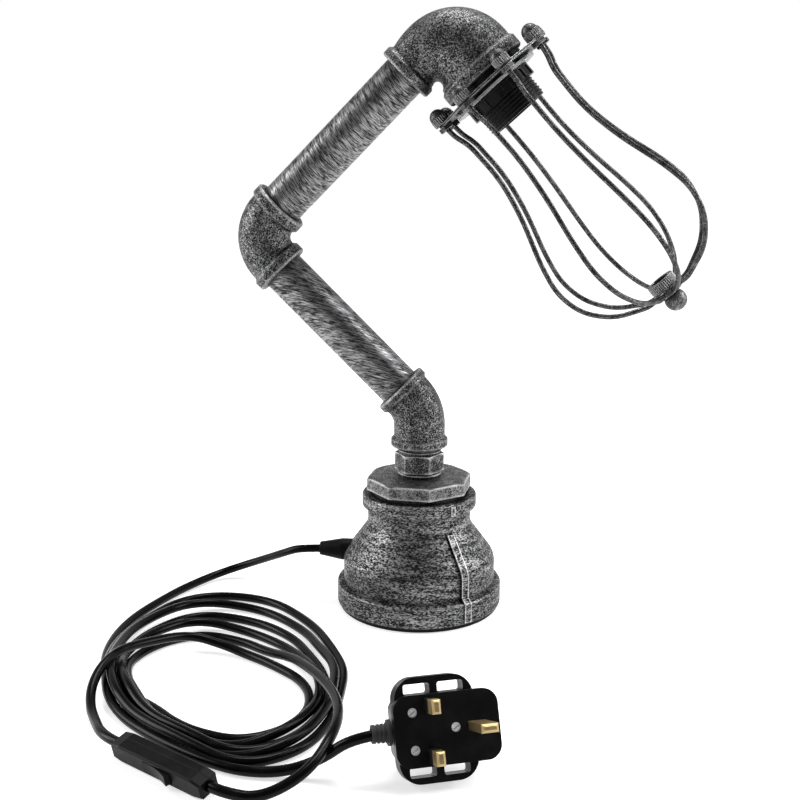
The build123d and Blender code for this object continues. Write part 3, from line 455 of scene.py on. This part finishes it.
piece_of(thread("socket_thread", (0, 0, 74.4), UP, radius=29.75, height=0.75, pitch=2.309, length=4.4),
         "foot", "cast_metal")
piece_of(thread("nipple_thread_low", (0, 0, 85.1), UP, radius=13.2, height=0.62, pitch=1.814, length=4.6),
         "foot", "cast_metal")
piece_of(thread("nipple_thread_high", (0, 0, 100.0), UP, radius=13.2, height=0.62, pitch=1.814, length=5.2),
         "foot", "cast_metal")
piece_of(thread("shell_thread", on_head(42.6), HEAD, radius=13.4, height=0.7, pitch=3.629, length=18.6,
                inward=True), "head", "contact_brass")
wire_spots = []
for index in range(8):
    angle = radians(FIRST_WIRE + 45 * index)
    wire_spots.append(on_head(CAP_NUTS) + (HEAD_ACROSS * cos(angle) - SIDE * sin(angle)) * WIRE_CIRCLE)
piece_of(knurl("cap_nut_knurl", wire_spots, HEAD, radius=4.9, length=4.0, count=22, height=0.22),
         "head", "cap_metal")
piece_of(knurl("hub_ring_knurl", [on_head(HUB_RING)], HEAD, radius=8.7, length=5.2, count=40, height=0.28),
         "head", "cage_metal")


# ---- Finishes of the CAD nodes -----------------------------------------------------------------------
SPECIAL = {"base_reducer": "bell_metal", "octagon_bush": "octagon_metal", "lower_pipe": "lower_metal",
           "upper_pipe": "upper_metal", "cap_nuts": "cap_metal", "cage_hex_nuts": "cap_metal"}
for part in frame["record"]["subparts"]:
    chosen = finishes[SPECIAL.get(part["node"], part["material_slot"])]
    for place in frame["nodes"][part["node"]].material_slots:
        place.material = chosen


# ---- Studio ----------------------------------------------------------------------------------------
ROOM = (0.16, 0.16, 0.16)               # light from all round
WHITE = (1, 1, 1)

world = bpy.data.worlds.new("studio")
scene.world = world
world.use_nodes = True
room = Graph(world.node_tree)
rays = room.add("ShaderNodeLightPath").outputs
direction = room.add("ShaderNodeTexCoord").outputs["Generated"]
towards = room.set_all(room.add("ShaderNodeSeparateXYZ"), {0: direction})
# the camera sees white; reflections see a white backdrop behind and beside the lamp, with a dim room
# in front of it and a dim ceiling
backdrop = room.math("MULTIPLY", room.ramp(towards["Y"], -0.7, 0.5, 0.03, 1.0),
                     room.ramp(towards["Z"], 0.25, 0.75, 1.0, 0.12))
seen = room.math("MAXIMUM", rays["Is Camera Ray"], rays["Is Transmission Ray"])
white = room.math("MAXIMUM", seen, room.math("MULTIPLY", rays["Is Glossy Ray"], backdrop))
room.set_all(room.tree.nodes["Background"], {"Strength": 1.0, "Color": room.mix(white, ROOM, WHITE)})


def softbox(name, place, target, size, power):
    light = bpy.data.lights.new(name, "AREA")
    light.shape = "RECTANGLE"
    light.size, light.size_y = size
    light.energy = power
    obj = bpy.data.objects.new(name, light)
    scene.collection.objects.link(obj)
    obj.location = place
    obj.rotation_euler = (Vector(target) - Vector(place)).to_track_quat("-Z", "Y").to_euler()


softbox("softbox_right", (1.0, 0.0, 0.75), (0, -0.05, 0.15), size=(0.45, 0.9), power=12)
softbox("softbox_left", (-1.0, -0.15, 0.5), (0, -0.05, 0.12), size=(0.4, 0.9), power=9)
softbox("softbox_top", (0.05, 0.15, 1.2), (0, -0.05, 0.1), size=(0.6, 0.4), power=10)

# white paper that glows to the camera, less near the lamp, so that its shadow shows
FLOOR_Z = -0.0003                       # a hair under the foot
FLOOR = [(-4, -4), (4, -4), (4, 6), (-4, 6)]
mesh = bpy.data.meshes.new("floor")
mesh.from_pydata([(x, y, FLOOR_Z) for x, y in FLOOR], [], [(0, 1, 2, 3)])
floor = bpy.data.objects.new("floor", mesh)
scene.collection.objects.link(floor)
paper = Finish("paper", (0.8, 0.8, 0.8), 0.9)
rays = paper.add("ShaderNodeLightPath").outputs
glow = paper.ramp(paper.vector_math("LENGTH", {0: paper.here})["Value"], 0.3, 0.8, 0.62, 1.0)
visible = paper.math("MAXIMUM", rays["Is Camera Ray"], rays["Is Glossy Ray"])
paper.set_all(paper.shader, {"Emission Color": (1, 1, 1, 1),
                             "Emission Strength": paper.math("MULTIPLY", visible, glow)})
mesh.materials.append(paper.material)
